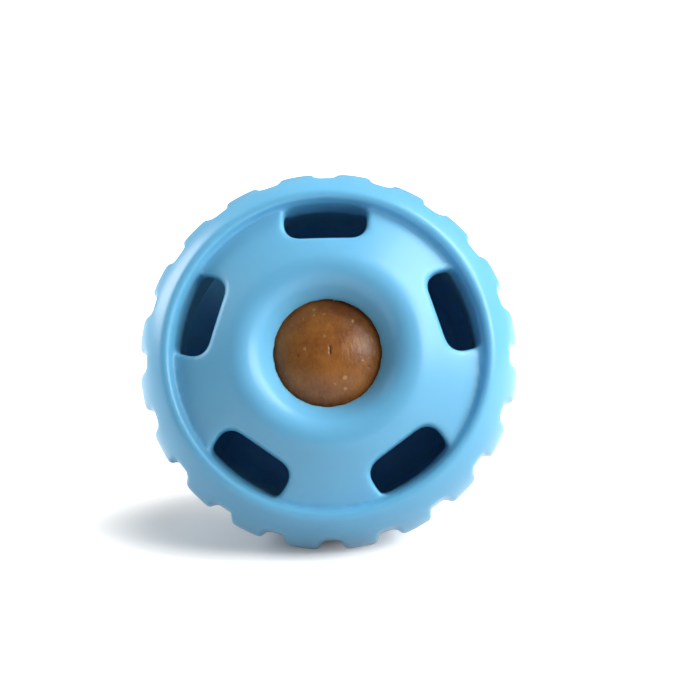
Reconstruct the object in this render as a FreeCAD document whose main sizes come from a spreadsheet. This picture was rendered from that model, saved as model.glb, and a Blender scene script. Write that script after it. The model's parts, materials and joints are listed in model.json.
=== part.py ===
import FreeCAD, Part
import math
import os

import Sketcher

# A treat dispensing dog toy: two rubber shells that screw together round a treat ball. Each piece
# is drawn about its own Z axis, which points out of the front, with the seam between the shells
# at zero. The pieces are then leaned back as one, so that the toy rests on two teeth and on the
# edge of its base, with the top slot upwards.

# Driving sizes, in millimetres and degrees: name, value, meaning
SIZES = (
    ("tip_radius", 47.5, "over the teeth, so the toy is 95 mm across"),
    ("notch_count", 20, "notches round the rim"),
    ("notch_depth", 2.15, "from the teeth down to a notch's floor"),
    ("notch_mouth", 6.6, "width of a notch at the teeth"),
    ("notch_floor", 4.8, "width of a notch at its floor"),
    ("notch_corner", 0.9, "rounding of a notch's floor corners"),
    ("notch_spill", 1.0, "how far the notch cutter runs out past the teeth"),
    ("tread_width", 2.0, "straight band behind the rounded shoulder"),
    ("bead_ring", 40.3, "radius of the circle on which the lip's bead is centred"),
    ("bead_radius", 1.3, "rounding of the bead"),
    ("bead_height", 17.0, "crest of the bead above the seam"),
    ("shoulder_end", 45, "where the shoulder runs into the bead, above its middle"),
    ("lip_slope", 75, "fall of the lip's inner wall towards the dome"),
    ("dome_slope", 31, "rise of the domed front from the lip to the ring"),
    ("dome_corner", 0.8, "rounding where the dome meets the lip"),
    ("ring_radius", 21.5, "crest circle of the thick ring round the hole"),
    ("ring_crest", 23.4, "crest of that ring above the seam"),
    ("ring_round", 6.75, "rounding of that ring over its crest"),
    ("funnel_slope", 49, "fall of the funnel from the ring to the ball"),
    ("hole_radius", 13.0, "hole in which the ball shows"),
    ("wall", 4.5, "rubber thickness of the dome, the funnel and the base"),
    ("slot_count", 5, "long slots through the dome"),
    ("slot_inner", 28.6, "distance of a slot's straight inner edge from the axis"),
    ("slot_length", 20.7, "length of a slot across the radius"),
    ("slot_corner", 3.8, "rounding of a slot's inner corners"),
    ("slot_outer_corner", 2.0, "rounding of a slot's outer corners"),
    ("slot_rim", 0.5, "from a slot's outer edge to the lip's inner wall"),
    ("slot_knee", 3.4, "depth below the bead's crest where a slot's outer wall starts inwards"),
    ("slot_relief", 1.4, "how far the slot cutter runs on below the dome"),
    ("neck_bore", 36.8, "inside radius of the threaded neck"),
    ("neck_wall", 2.4, "thickness of the neck under its thread"),
    ("neck_length", 9.0, "neck below the seam"),
    ("thread_height", 1.2, "height of a thread ridge"),
    ("thread_clearance", 0.3, "between a ridge and the wall that it faces"),
    ("thread_play", 0.4, "between the flanks of two ridges"),
    ("thread_lead", 24.0, "advance in one turn"),
    ("thread_starts", 3, "ridges round each shell"),
    ("thread_draft", 0.3, "how much a ridge narrows on each side towards its tip"),
    ("thread_root", 0.6, "how far a ridge is rooted in its wall"),
    ("thread_margin", 0.3, "from a ridge's end to the end of its wall"),
    ("neck_gap", 0.6, "between the neck's end and the ledge below it"),
    ("seam_gap", 0.2, "between the two shells at the seam"),
    ("ball_radius", 22.5, "treat ball"),
    ("ball_clearance", 0.3, "between the ball and what holds it"),
    ("skirt_radius", 44.7, "rear shell at the seam"),
    ("skirt_height", 3.8, "straight band of the rear shell"),
    ("base_radius", 32.5, "flat base"),
    ("base_edge", 6.0, "rounding between the flat base and the side"),
    ("bowl_mouth", 37.3, "inside radius of the bowl at its ledge"),
    ("bowl_corner", 6.0, "rounding inside the bowl's floor"),
    ("rib_thickness", 2.6, "cradle rib"),
    ("rib_top", 14.0, "depth of a rib's top below the seam"),
    ("rib_foot", 10.0, "distance of a rib's inner end from the axis"),
    ("rib_root", 1.5, "how far a rib is rooted in the bowl"),
)

# Places worked out from the sizes: name, formula. Depths count downwards from the seam.
PLACES = (
    ("groove_radius", "Sizes.tip_radius - Sizes.notch_depth"),
    ("notch_turn", "atan(2 * Sizes.notch_depth / (Sizes.notch_mouth - Sizes.notch_floor))"),
    ("notch_round", "Sizes.notch_corner * tan(notch_turn / 2)"),
    ("bead_middle", "Sizes.bead_height - Sizes.bead_radius"),
    ("shoulder_top_radius", "Sizes.bead_ring + Sizes.bead_radius * cos(Sizes.shoulder_end)"),
    ("shoulder_top_height", "bead_middle + Sizes.bead_radius * sin(Sizes.shoulder_end)"),
    ("shoulder_run", "Sizes.tip_radius - shoulder_top_radius"),
    ("shoulder_rise", "shoulder_top_height - Sizes.tread_width"),
    ("shoulder_radius", "(shoulder_run ^ 2 + shoulder_rise ^ 2) / (2 * shoulder_run)"),
    ("lip_top_radius", "Sizes.bead_ring - Sizes.bead_radius * sin(Sizes.lip_slope)"),
    ("lip_top_height", "bead_middle + Sizes.bead_radius * cos(Sizes.lip_slope)"),
    ("ring_middle", "Sizes.ring_crest - Sizes.ring_round"),
    ("dome_top_radius", "Sizes.ring_radius + Sizes.ring_round * sin(Sizes.dome_slope)"),
    ("dome_top_height", "ring_middle + Sizes.ring_round * cos(Sizes.dome_slope)"),
    ("dome_fall", "tan(Sizes.dome_slope)"),
    ("lip_fall", "tan(Sizes.lip_slope)"),
    ("dome_lead", "dome_top_height - lip_top_height + dome_top_radius * dome_fall"),
    ("dome_foot_radius", "(dome_lead + lip_top_radius * lip_fall) / (dome_fall + lip_fall)"),
    ("dome_foot_height", "dome_top_height - (dome_foot_radius - dome_top_radius) * dome_fall"),
    ("funnel_top_radius", "Sizes.ring_radius - Sizes.ring_round * sin(Sizes.funnel_slope)"),
    ("funnel_top_height", "ring_middle + Sizes.ring_round * cos(Sizes.funnel_slope)"),
    ("funnel_run", "funnel_top_radius - Sizes.hole_radius"),
    ("hole_height", "funnel_top_height - funnel_run * tan(Sizes.funnel_slope)"),
    ("under_round", "Sizes.ring_round - Sizes.wall"),
    ("under_out_radius", "Sizes.ring_radius + under_round * sin(Sizes.dome_slope)"),
    ("under_out_height", "ring_middle + under_round * cos(Sizes.dome_slope)"),
    ("under_in_radius", "Sizes.ring_radius - under_round * sin(Sizes.funnel_slope)"),
    ("under_in_height", "ring_middle + under_round * cos(Sizes.funnel_slope)"),
    ("under_height", "under_out_height - (Sizes.neck_bore - under_out_radius) * dome_fall"),
    ("seat_radius", "Sizes.ball_radius + Sizes.ball_clearance"),
    ("ball_depth", "sqrt(seat_radius ^ 2 - Sizes.hole_radius ^ 2) - hole_height"),
    ("ball_drop", "under_in_height + ball_depth"),
    ("seat_along", "under_in_radius * cos(Sizes.funnel_slope) + ball_drop * sin(Sizes.funnel_slope)"),
    ("seat_aside", "under_in_radius * sin(Sizes.funnel_slope) - ball_drop * cos(Sizes.funnel_slope)"),
    ("seat_run", "seat_along - sqrt(seat_radius ^ 2 - seat_aside ^ 2)"),
    ("collar_radius", "under_in_radius - seat_run * cos(Sizes.funnel_slope)"),
    ("collar_height", "under_in_height - seat_run * sin(Sizes.funnel_slope)"),
    ("slot_low", "under_height - Sizes.slot_relief"),
    ("slot_bend", "Sizes.bead_height - Sizes.slot_knee"),
    ("slot_reach", "dome_foot_radius - Sizes.slot_rim"),
    ("neck_radius", "Sizes.neck_bore + Sizes.neck_wall"),
    ("neck_ridge_tip", "neck_radius + Sizes.thread_height"),
    ("bore_radius", "neck_ridge_tip + Sizes.thread_clearance"),
    ("bore_ridge_tip", "neck_radius + Sizes.thread_clearance"),
    ("ridge_pitch", "Sizes.thread_lead / Sizes.thread_starts"),
    ("ridge_width", "ridge_pitch / 2 - Sizes.thread_play"),
    ("ridge_half_root", "ridge_width / 2 + Sizes.thread_draft"),
    ("ridge_half_tip", "ridge_width / 2 - Sizes.thread_draft"),
    ("neck_ridge_low", "ridge_half_root + Sizes.thread_margin - Sizes.neck_length"),
    ("bore_ridge_low", "neck_ridge_low - ridge_pitch / 2"),
    ("bore_ridge_high", "-(Sizes.seam_gap + Sizes.thread_margin + ridge_half_root)"),
    ("ledge_depth", "Sizes.neck_length + Sizes.neck_gap"),
    ("floor_depth", "ball_depth + seat_radius"),
    ("base_depth", "floor_depth + Sizes.wall"),
    ("edge_depth", "base_depth - Sizes.base_edge"),
    ("skirt_depth", "Sizes.seam_gap + Sizes.skirt_height"),
    ("side_run", "Sizes.skirt_radius - Sizes.base_radius"),
    ("side_drop", "edge_depth - skirt_depth"),
    ("side_length", "sqrt(side_run ^ 2 + side_drop ^ 2)"),
    ("side_lean", "atan(side_run / side_drop) - asin(Sizes.base_edge / side_length)"),
    ("side_foot_radius", "Sizes.base_radius + Sizes.base_edge * cos(side_lean)"),
    ("side_foot_depth", "edge_depth + Sizes.base_edge * sin(side_lean)"),
    ("bowl_bend_depth", "floor_depth - Sizes.bowl_corner"),
    ("bowl_bend_radius", "Sizes.bowl_mouth - (bowl_bend_depth - ledge_depth) * tan(side_lean)"),
    ("bowl_flat", "bowl_bend_radius - Sizes.bowl_corner / cos(side_lean)"),
    ("rib_outer", "Sizes.bowl_mouth - (Sizes.rib_top - ledge_depth) * tan(side_lean) + Sizes.rib_root"),
    ("rib_inner", "sqrt(seat_radius ^ 2 - (Sizes.rib_top - ball_depth) ^ 2)"),
    ("rib_foot_depth", "ball_depth + sqrt(seat_radius ^ 2 - Sizes.rib_foot ^ 2)"),
    ("tooth_reach", "sqrt(Sizes.tip_radius ^ 2 - Sizes.notch_mouth ^ 2 / 4)"),
    ("rest_run", "tooth_reach - Sizes.base_radius"),
    ("rest_length", "sqrt(rest_run ^ 2 + edge_depth ^ 2)"),
    ("lean", "acos(Sizes.base_edge / rest_length) - atan(edge_depth / rest_run)"),
    ("lip_reach", "Sizes.bead_ring * sin(lean) + bead_middle * cos(lean) + Sizes.bead_radius"),
    ("ring_reach", "Sizes.ring_radius * sin(lean) + ring_middle * cos(lean) + Sizes.ring_round"),
    ("front_reach", "max(lip_reach; ring_reach)"),
    ("back_reach", "Sizes.base_radius * sin(lean) + edge_depth * cos(lean) + Sizes.base_edge"),
    ("seam_y", "(front_reach - back_reach) / 2"),
    ("seam_z", "tooth_reach * cos(lean)"),
)

TOLERANCE = 0.01


def fill_sheets(doc):
    """The driving sizes as plain numbers, and beside them the places worked out from them."""
    sizes = doc.addObject("Spreadsheet::Sheet", "Sizes")
    for row, (name, value, meaning) in enumerate(SIZES, 1):
        sizes.set(f"A{row}", name)
        sizes.set(f"B{row}", str(value))
        sizes.set(f"C{row}", meaning)
        sizes.setAlias(f"B{row}", name)
    doc.recompute()
    places = doc.addObject("Spreadsheet::Sheet", "Places")
    for row, (name, formula) in enumerate(PLACES, 1):
        places.set(f"A{row}", name)
        places.setAlias(f"B{row}", name)
        places.set(f"B{row}", "=" + formula)
    doc.recompute()


def number(owner, formula):
    value = owner.evalExpression(formula)
    return float(getattr(value, "Value", value))


def origin_part(body, role):
    """One of the body's own origin planes or axes."""
    return next(item for item in body.Origin.OriginFeatures if item.Role == role)


def arc_between(start, end, radius, side):
    """A circle's arc from start to end that turns left (side 1) or right (side -1)."""
    chord = end - start
    left = FreeCAD.Vector(-chord.y, chord.x, 0).normalize()
    drop = math.sqrt(radius**2 - (chord.Length / 2) ** 2)
    centre = start + chord / 2 + left * (side * drop)
    circle = Part.Circle(centre, FreeCAD.Vector(0, 0, 1), radius)
    first, last = (start, end) if side > 0 else (end, start)
    angles = [math.atan2(p.y - centre.y, p.x - centre.x) for p in (first, last)]
    return Part.ArcOfCircle(circle, *angles)


def draw(body, name, plane, corners, height=None, turn=None):
    """A closed sketch. A corner is (x, y), or (x, y, radius, side) where an arc leaves it."""
    sketch = body.newObject("Sketcher::SketchObject", name)
    sketch.AttachmentSupport = [(origin_part(body, plane), "")]
    sketch.MapMode = "FlatFace"
    if height:
        sketch.setExpression("AttachmentOffset.Base.z", height)
    if turn:
        sketch.AttachmentOffset = FreeCAD.Placement(
            FreeCAD.Vector(), FreeCAD.Rotation(FreeCAD.Vector(0, 1, 0), 1)
        )
        sketch.setExpression("AttachmentOffset.Rotation.Angle", turn)
    points = [FreeCAD.Vector(number(body, c[0]), number(body, c[1]), 0) for c in corners]
    ends = []
    for index, corner in enumerate(corners):
        start, end = points[index], points[(index + 1) % len(points)]
        if len(corner) == 2:
            sketch.addGeometry(Part.LineSegment(start, end))
            ends.append((1, 2))
        else:
            radius = number(body, corner[2])
            sketch.addGeometry(arc_between(start, end, radius, corner[3]))
            ends.append((1, 2) if corner[3] > 0 else (2, 1))
    for index, corner in enumerate(corners):
        last = index - 1 if index else len(corners) - 1
        start = ends[index][0]
        sketch.addConstraint(Sketcher.Constraint("Coincident", last, ends[last][1], index, start))
        for kind, formula, axis in (("DistanceX", corner[0], -2), ("DistanceY", corner[1], -1)):
            if formula == "0":
                sketch.addConstraint(Sketcher.Constraint("PointOnObject", index, start, axis))
                continue
            place = sketch.addConstraint(
                Sketcher.Constraint(kind, -1, 1, index, start, number(body, formula))
            )
            sketch.setExpression(f"Constraints[{place}]", formula)
        if len(corner) > 2:
            radius = number(body, corner[2])
            place = sketch.addConstraint(Sketcher.Constraint("Radius", index, radius))
            sketch.setExpression(f"Constraints[{place}]", corner[2])
    return sketch


def revolve(body, name, sketch):
    turned = body.newObject("PartDesign::Revolution", name)
    turned.Profile = sketch
    turned.ReferenceAxis = (sketch, ["V_Axis"])
    turned.Angle = 360
    body.Document.recompute()
    return turned


def repeat(body, name, feature, count):
    """A feature repeated round the axis."""
    pattern = body.newObject("PartDesign::PolarPattern", name)
    pattern.Originals = [feature]
    pattern.Axis = (origin_part(body, "Z_Axis"), [""])
    pattern.Angle = 360
    pattern.Occurrences = int(number(body, count))
    pattern.setExpression("Occurrences", count)
    body.Tip = pattern
    body.Document.recompute()
    return pattern


def thread(body, name, root, tip, low, rise):
    """A ridge that climbs along the axis from a flank profile, once for each start."""
    middle = f"({low})"
    profile = draw(body, f"{name}_profile", "XZ_Plane", (
        (root, f"{middle} - Places.ridge_half_root"),
        (tip, f"{middle} - Places.ridge_half_tip"),
        (tip, f"{middle} + Places.ridge_half_tip"),
        (root, f"{middle} + Places.ridge_half_root"),
    ))
    ridge = body.newObject("PartDesign::AdditiveHelix", name)
    ridge.Profile = profile
    ridge.ReferenceAxis = (profile, ["V_Axis"])
    ridge.Mode = "pitch-height-angle"
    ridge.setExpression("Pitch", "Sizes.thread_lead")
    ridge.setExpression("Height", rise)
    ridge.Pitch = number(body, "Sizes.thread_lead")
    ridge.Height = number(body, rise)
    ridge.Angle = 0
    body.Document.recompute()
    return repeat(body, f"{name}s", ridge, "Sizes.thread_starts")


def must_change(before, after):
    """A cut or a pad that points the wrong way leaves the volume as it was."""
    if abs(after.Shape.Volume - before.Shape.Volume) < TOLERANCE:
        raise RuntimeError(f"{after.Name} changed nothing")


def ring_edge(feature, radius, height):
    """The name of the circular edge about the axis with this radius and height."""
    for index, edge in enumerate(feature.Shape.Edges, 1):
        point = edge.valueAt(edge.FirstParameter)
        across = math.hypot(point.x, point.y)
        if abs(across - radius) < TOLERANCE and abs(point.z - height) < TOLERANCE:
            if isinstance(edge.Curve, Part.Circle) and abs(edge.Curve.Radius - radius) < TOLERANCE:
                return f"Edge{index}"
    raise RuntimeError(f"no edge of radius {radius:.2f} at height {height:.2f}")


def soften(body, name, feature, radius, height, size):
    """A fillet on one circular edge."""
    fillet = body.newObject("PartDesign::Fillet", name)
    edge = ring_edge(feature, number(body, radius), number(body, height))
    fillet.Base = (feature, [edge])
    fillet.Radius = number(body, size)
    fillet.setExpression("Radius", size)
    body.Document.recompute()
    return fillet


def slot_plan(outer):
    """A slot seen from the front, pointing up, with its outer edge on a circle about the axis."""
    half = "Sizes.slot_length / 2"
    flat = f"({half} - Sizes.slot_corner)"
    side_low = "Sizes.slot_inner + Sizes.slot_corner"
    inset = f"({half} - Sizes.slot_outer_corner)"
    side_high = f"sqrt(({outer} - Sizes.slot_outer_corner) ^ 2 - {inset} ^ 2)"
    stretch = f"{outer} / ({outer} - Sizes.slot_outer_corner)"
    end_x, end_y = f"{inset} * {stretch}", f"{side_high} * {stretch}"
    return (
        (f"-{flat}", "Sizes.slot_inner"),
        (flat, "Sizes.slot_inner", "Sizes.slot_corner", 1),
        (half, side_low),
        (half, side_high, "Sizes.slot_outer_corner", 1),
        (end_x, end_y, outer, 1),
        (f"-{end_x}", end_y, "Sizes.slot_outer_corner", 1),
        (f"-({half})", side_high),
        (f"-({half})", side_low, "Sizes.slot_corner", 1),
    )


def front_shell(doc):
    """The toothed front half: rim, lip, slotted dome, ring, funnel, ball seat and threaded neck."""
    body = doc.addObject("PartDesign::Body", "front_shell")
    profile = draw(body, "front_profile", "XZ_Plane", (
        ("Sizes.neck_bore", "-Sizes.neck_length"),
        ("Places.neck_radius", "-Sizes.neck_length"),
        ("Places.neck_radius", "0"),
        ("Sizes.tip_radius", "0"),
        ("Sizes.tip_radius", "Sizes.tread_width", "Places.shoulder_radius", 1),
        ("Places.shoulder_top_radius", "Places.shoulder_top_height", "Sizes.bead_radius", 1),
        ("Places.lip_top_radius", "Places.lip_top_height"),
        ("Places.dome_foot_radius", "Places.dome_foot_height"),
        ("Places.dome_top_radius", "Places.dome_top_height", "Sizes.ring_round", 1),
        ("Places.funnel_top_radius", "Places.funnel_top_height"),
        ("Sizes.hole_radius", "Places.hole_height", "Places.seat_radius", -1),
        ("Places.collar_radius", "Places.collar_height"),
        ("Places.under_in_radius", "Places.under_in_height", "Places.under_round", -1),
        ("Places.under_out_radius", "Places.under_out_height"),
        ("Sizes.neck_bore", "Places.under_height"),
    ))
    turned = revolve(body, "front_turned", profile)
    foot = ("Places.dome_foot_radius", "Places.dome_foot_height")
    rounded = soften(body, "dome_round", turned, *foot, "Sizes.dome_corner")

    reach = "(Sizes.tip_radius + Sizes.notch_spill)"
    half_floor = "(Sizes.notch_floor / 2)"
    side_x = f"{half_floor} + Places.notch_round * cos(Places.notch_turn)"
    side_y = "Places.groove_radius + Places.notch_round * sin(Places.notch_turn)"
    half_spill = f"({half_floor} + (Sizes.notch_depth + Sizes.notch_spill) / tan(Places.notch_turn))"
    notch = draw(body, "notch_plan", "XY_Plane", (
        (f"-({half_floor} - Places.notch_round)", "Places.groove_radius"),
        (f"{half_floor} - Places.notch_round", "Places.groove_radius", "Sizes.notch_corner", 1),
        (side_x, side_y),
        (half_spill, reach),
        (f"-{half_spill}", reach),
        (f"-({side_x})", side_y, "Sizes.notch_corner", 1),
    ))
    pocket = body.newObject("PartDesign::Pocket", "notch")
    pocket.Profile = notch
    pocket.Length = number(body, "Sizes.bead_height")
    pocket.setExpression("Length", "Sizes.bead_height")
    pocket.Reversed = True
    doc.recompute()
    must_change(rounded, pocket)
    notches = repeat(body, "notches", pocket, "Sizes.notch_count")

    sections = [
        draw(body, f"slot_{name}_plan", "XY_Plane", slot_plan(outer), height=height)
        for name, outer, height in (
            ("low", "Sizes.neck_bore", "Places.slot_low"),
            ("bend", "Places.slot_reach", "Places.slot_bend"),
            ("high", "Places.slot_reach", "Sizes.ring_crest"),
        )
    ]
    slot = body.newObject("PartDesign::SubtractiveLoft", "slot")
    slot.Profile = sections[0]
    slot.Sections = sections[1:]
    slot.Ruled = True
    doc.recompute()
    must_change(notches, slot)
    repeat(body, "slots", slot, "Sizes.slot_count")

    thread(
        body,
        "neck_ridge",
        "Places.neck_radius - Sizes.thread_root",
        "Places.neck_ridge_tip",
        "Places.neck_ridge_low",
        "-Places.neck_ridge_low",
    )
    return body


def rear_shell(doc):
    """The cup half: threaded mouth, ledge, bowl with cradle ribs, and flat base."""
    body = doc.addObject("PartDesign::Body", "rear_shell")
    profile = draw(body, "rear_profile", "XZ_Plane", (
        ("0", "-Places.base_depth"),
        ("Sizes.base_radius", "-Places.base_depth", "Sizes.base_edge", 1),
        ("Places.side_foot_radius", "-Places.side_foot_depth"),
        ("Sizes.skirt_radius", "-Places.skirt_depth"),
        ("Sizes.skirt_radius", "-Sizes.seam_gap"),
        ("Places.bore_radius", "-Sizes.seam_gap"),
        ("Places.bore_radius", "-Places.ledge_depth"),
        ("Sizes.bowl_mouth", "-Places.ledge_depth"),
        (
            "Places.bowl_flat + Sizes.bowl_corner * cos(Places.side_lean)",
            "-(Places.bowl_bend_depth + Sizes.bowl_corner * sin(Places.side_lean))",
            "Sizes.bowl_corner",
            -1,
        ),
        ("Places.bowl_flat", "-Places.floor_depth"),
        ("0", "-Places.floor_depth"),
    ))
    turned = revolve(body, "rear_turned", profile)

    rooted = "-(Places.floor_depth + Sizes.rib_root)"
    section = draw(body, "rib_section", "XZ_Plane", (
        ("Sizes.rib_foot", rooted),
        ("Places.bowl_bend_radius", rooted),
        ("Places.rib_outer", "-Sizes.rib_top"),
        ("Places.rib_inner", "-Sizes.rib_top", "Places.seat_radius", -1),
        ("Sizes.rib_foot", "-Places.rib_foot_depth"),
    ), turn="90 + 180 / Sizes.slot_count")
    rib = body.newObject("PartDesign::Pad", "rib")
    rib.Profile = section
    rib.Midplane = True
    rib.Length = number(body, "Sizes.rib_thickness")
    rib.setExpression("Length", "Sizes.rib_thickness")
    doc.recompute()
    must_change(turned, rib)
    repeat(body, "ribs", rib, "Sizes.slot_count")

    thread(
        body,
        "bore_ridge",
        "Places.bore_radius + Sizes.thread_root",
        "Places.bore_ridge_tip",
        "Places.bore_ridge_low",
        "Places.bore_ridge_high - Places.bore_ridge_low",
    )
    return body


def treat_ball(doc):
    """The round treat in the cavity, behind the front hole."""
    ball = doc.addObject("Part::Sphere", "treat_ball")
    ball.Radius = number(ball, "Sizes.ball_radius")
    ball.setExpression("Radius", "Sizes.ball_radius")
    return ball


def lean_back(piece, depth):
    """Stands a piece in the toy's resting pose, with its own origin this far behind the seam."""
    piece.Placement = FreeCAD.Placement(
        FreeCAD.Vector(), FreeCAD.Rotation(FreeCAD.Vector(1, 0, 0), 1)
    )
    piece.setExpression("Placement.Rotation.Angle", "90 deg - Places.lean")
    piece.setExpression("Placement.Base.y", f"Places.seam_y + {depth} * cos(Places.lean)")
    piece.setExpression("Placement.Base.z", f"Places.seam_z - {depth} * sin(Places.lean)")


def main():
    doc = FreeCAD.newDocument("treat_toy")
    fill_sheets(doc)
    front = front_shell(doc)
    rear = rear_shell(doc)
    ball = treat_ball(doc)
    for piece, depth in ((front, "0"), (rear, "0"), (ball, "Places.ball_depth")):
        piece.Label = piece.Name
        lean_back(piece, depth)
    doc.recompute()

    for item in doc.Objects:
        if "Invalid" in item.State or "Error" in item.State:
            raise RuntimeError(f"{item.Name} failed: {item.State}")
    for piece in (front, rear, ball):
        if piece.Shape.isNull() or not piece.Shape.isValid() or len(piece.Shape.Solids) != 1:
            raise RuntimeError(f"{piece.Label} isn't one sound solid")

    os.makedirs("parts", exist_ok=True)
    for piece in (front, rear, ball):
        piece.Shape.exportStep(f"parts/{piece.Label}.step")
        print(piece.Label, round(piece.Shape.Volume), "cubic millimetres")


main()
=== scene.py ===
import json
import math

import bmesh
import bpy
from mathutils import Matrix, Quaternion, Vector


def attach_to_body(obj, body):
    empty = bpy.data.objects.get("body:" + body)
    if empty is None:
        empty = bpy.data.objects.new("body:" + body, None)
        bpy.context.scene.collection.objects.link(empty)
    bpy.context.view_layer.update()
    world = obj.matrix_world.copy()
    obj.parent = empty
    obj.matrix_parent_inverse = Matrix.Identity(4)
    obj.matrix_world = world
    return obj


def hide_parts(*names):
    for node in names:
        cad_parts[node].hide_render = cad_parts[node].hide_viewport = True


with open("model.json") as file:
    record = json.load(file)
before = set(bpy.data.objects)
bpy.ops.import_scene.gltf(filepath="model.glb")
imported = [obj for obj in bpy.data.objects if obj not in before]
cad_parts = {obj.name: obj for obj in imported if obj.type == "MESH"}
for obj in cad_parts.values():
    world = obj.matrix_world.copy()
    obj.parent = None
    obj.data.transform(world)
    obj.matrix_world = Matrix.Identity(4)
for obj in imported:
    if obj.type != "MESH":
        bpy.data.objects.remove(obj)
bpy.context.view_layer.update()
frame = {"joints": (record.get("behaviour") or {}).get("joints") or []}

bl_info = {
    "name": "Treat dispensing dog toy",
    "version": (1, 0, 0),
    "blender": (4, 5, 0),
    "location": "View3D > Sidebar > Dog Toy",
    "description": "Builds the rubber shells and the treat of a treat dispensing dog toy",
    "category": "Add Mesh",
}

MM = 0.001

# The toy's own frame: its axis points out of the front, and the seam between the shells is zero
TWIST = next(joint for joint in frame["joints"] if joint["name"] == "shell_twist")
TOY_AXIS = Vector(TWIST["axis"])
LEAN = math.asin(TOY_AXIS.z)
TOY_TO_ROW = (
    Matrix.Translation(Vector(TWIST["pos_m"])) @ Matrix.Rotation(math.pi / 2 - LEAN, 4, "X")
)


def length(name, description, millimetres):
    """A property that holds a length, with its default given in millimetres."""
    return bpy.props.FloatProperty(
        name=name,
        description=description,
        default=millimetres * MM,
        min=0.0,
        unit="LENGTH",
        subtype="DISTANCE",
        precision=5,
    )


def strength(name, description, value):
    """A property that holds how strong a light is."""
    return bpy.props.FloatProperty(name=name, description=description, default=value, min=0.0)


def angle(name, description, degrees):
    """A property that holds an angle, with its default given in degrees."""
    return bpy.props.FloatProperty(
        name=name, description=description, default=math.radians(degrees), subtype="ANGLE"
    )


def linear(code):
    """An sRGB hex colour as linear red, green and blue."""
    channels = [int(code[place : place + 2], 16) / 255 for place in (1, 3, 5)]
    return tuple(c / 12.92 if c <= 0.04045 else ((c + 0.055) / 1.055) ** 2.4 for c in channels)


def colour(name, description, code):
    """A property that holds a colour, with its default given as sRGB hex."""
    return bpy.props.FloatVectorProperty(
        name=name,
        description=description,
        default=linear(code),
        size=3,
        min=0.0,
        max=1.0,
        subtype="COLOR",
    )


class FrontSizes(bpy.types.PropertyGroup):
    """Sizes of the toothed front shell."""

    tip_radius: length("Tip radius", "Over the teeth", 47.5)
    notch_count: bpy.props.IntProperty(
        name="Notches", description="Notches round the rim", default=20, min=3
    )
    notch_depth: length("Notch depth", "From the teeth to a notch's floor", 2.15)
    notch_mouth: length("Notch mouth", "Width of a notch at the teeth", 6.6)
    notch_floor: length("Notch floor", "Width of a notch at its floor", 4.8)
    tread_width: length("Tread width", "Straight band behind the shoulder", 2.0)
    bead_ring: length("Bead ring", "Radius of the circle on which the bead is centred", 40.3)
    bead_radius: length("Bead radius", "Rounding of the lip's bead", 1.3)
    bead_height: length("Bead height", "Crest of the bead above the seam", 17.0)
    shoulder_end: angle("Shoulder end", "Where the shoulder runs into the bead", 45)
    lip_slope: angle("Lip slope", "Fall of the lip's inner wall towards the dome", 75)
    dome_slope: angle("Dome slope", "Rise of the domed front towards the ring", 31)
    dome_corner: length("Dome corner", "Rounding where the dome meets the lip", 0.8)
    ring_radius: length("Ring radius", "Crest circle of the thick ring round the hole", 21.5)
    ring_crest: length("Ring crest", "Crest of the ring above the seam", 23.4)
    ring_round: length("Ring rounding", "Rounding of the ring over its crest", 6.75)
    funnel_slope: angle("Funnel slope", "Fall of the funnel from the ring to the ball", 49)
    hole_radius: length("Hole radius", "Hole in which the ball shows", 13.0)
    wall: length("Wall", "Rubber thickness of the dome, the funnel and the base", 4.5)
    slot_count: bpy.props.IntProperty(
        name="Slots", description="Long slots through the dome", default=5, min=1
    )
    slot_inner: length("Slot inner edge", "Distance of the straight edge from the axis", 28.6)
    slot_length: length("Slot length", "Length of a slot across the radius", 20.7)
    slot_corner: length("Slot corner", "Rounding of a slot's inner corners", 3.8)
    slot_outer_corner: length("Slot outer corner", "Rounding of its outer corners", 2.0)
    slot_rim: length("Slot rim", "From a slot's outer edge to the lip's inner wall", 0.5)
    slot_knee: length("Slot knee", "Depth where a slot's outer wall starts inwards", 3.4)
    slot_relief: length("Slot relief", "How far the slot runs on below the dome", 1.4)


class ThreadSizes(bpy.types.PropertyGroup):
    """Sizes of the threaded neck and of the mouth that it screws into."""

    neck_bore: length("Neck bore", "Inside radius of the neck", 36.8)
    neck_wall: length("Neck wall", "Thickness of the neck under its thread", 2.4)
    neck_length: length("Neck length", "Neck below the seam", 9.0)
    ridge_height: length("Ridge height", "Height of a thread ridge", 1.2)
    clearance: length("Clearance", "Between a ridge and the wall that it faces", 0.3)
    play: length("Play", "Between the flanks of two ridges", 0.4)
    lead: length("Lead", "Advance in one turn", 24.0)
    starts: bpy.props.IntProperty(
        name="Starts", description="Ridges round each shell", default=3, min=1
    )
    draft: length("Draft", "How much a ridge narrows on each side", 0.3)
    root: length("Root", "How far a ridge is rooted in its wall", 0.6)
    margin: length("Margin", "From a ridge's end to the end of its wall", 0.3)


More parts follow.
